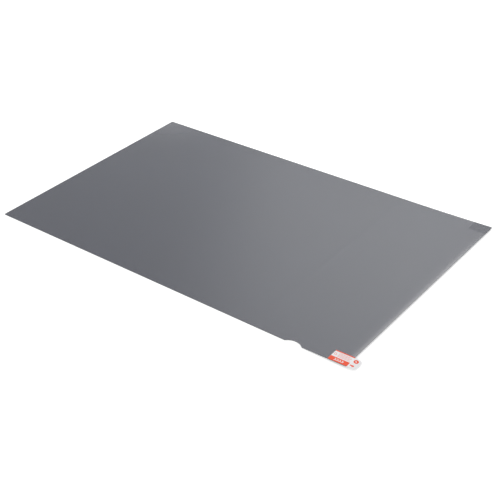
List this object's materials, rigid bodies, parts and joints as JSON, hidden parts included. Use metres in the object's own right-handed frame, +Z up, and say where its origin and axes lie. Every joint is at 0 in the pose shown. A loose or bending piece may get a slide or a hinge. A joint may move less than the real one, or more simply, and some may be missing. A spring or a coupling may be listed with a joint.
{
  "type": "monitor anti-glare filter",
  "caption": "Tinted flexible sheet with a thumb notch, clear peel-off liners on both faces and pull tabs, laid over a desktop monitor's screen to cut glare.",
  "frame": {"origin": "middle of the flat underside, which is the rear liner's lower face, under the centre of the sheet", "axes": "+X along the notched long edge towards the printed pull tab, +Y away from the notched edge, +Z up from the rear face to the front face"},
  "size_m": [0.5289, 0.324, 0.0024],
  "materials": {
    "tinted_film": "satin anti-glare PET laminate, dark grey tint that lets about a third of the light through at each pass",
    "clear_liner": "clear soft PE film, slightly hazy",
    "white_sticker": "white coated label stock",
    "orange_ink": "printed coral-orange ink, satin",
    "grey_sticker": "pale grey label stock, unprinted"
  },
  "bodies": {
    "root": {"filter_sheet": "tinted_film", "front_liner": "clear_liner", "back_liner": "clear_liner", "front_pull_tab": "white_sticker", "front_tab_print": "orange_ink", "back_pull_tab": "grey_sticker"}
  },
  "joints": []
}
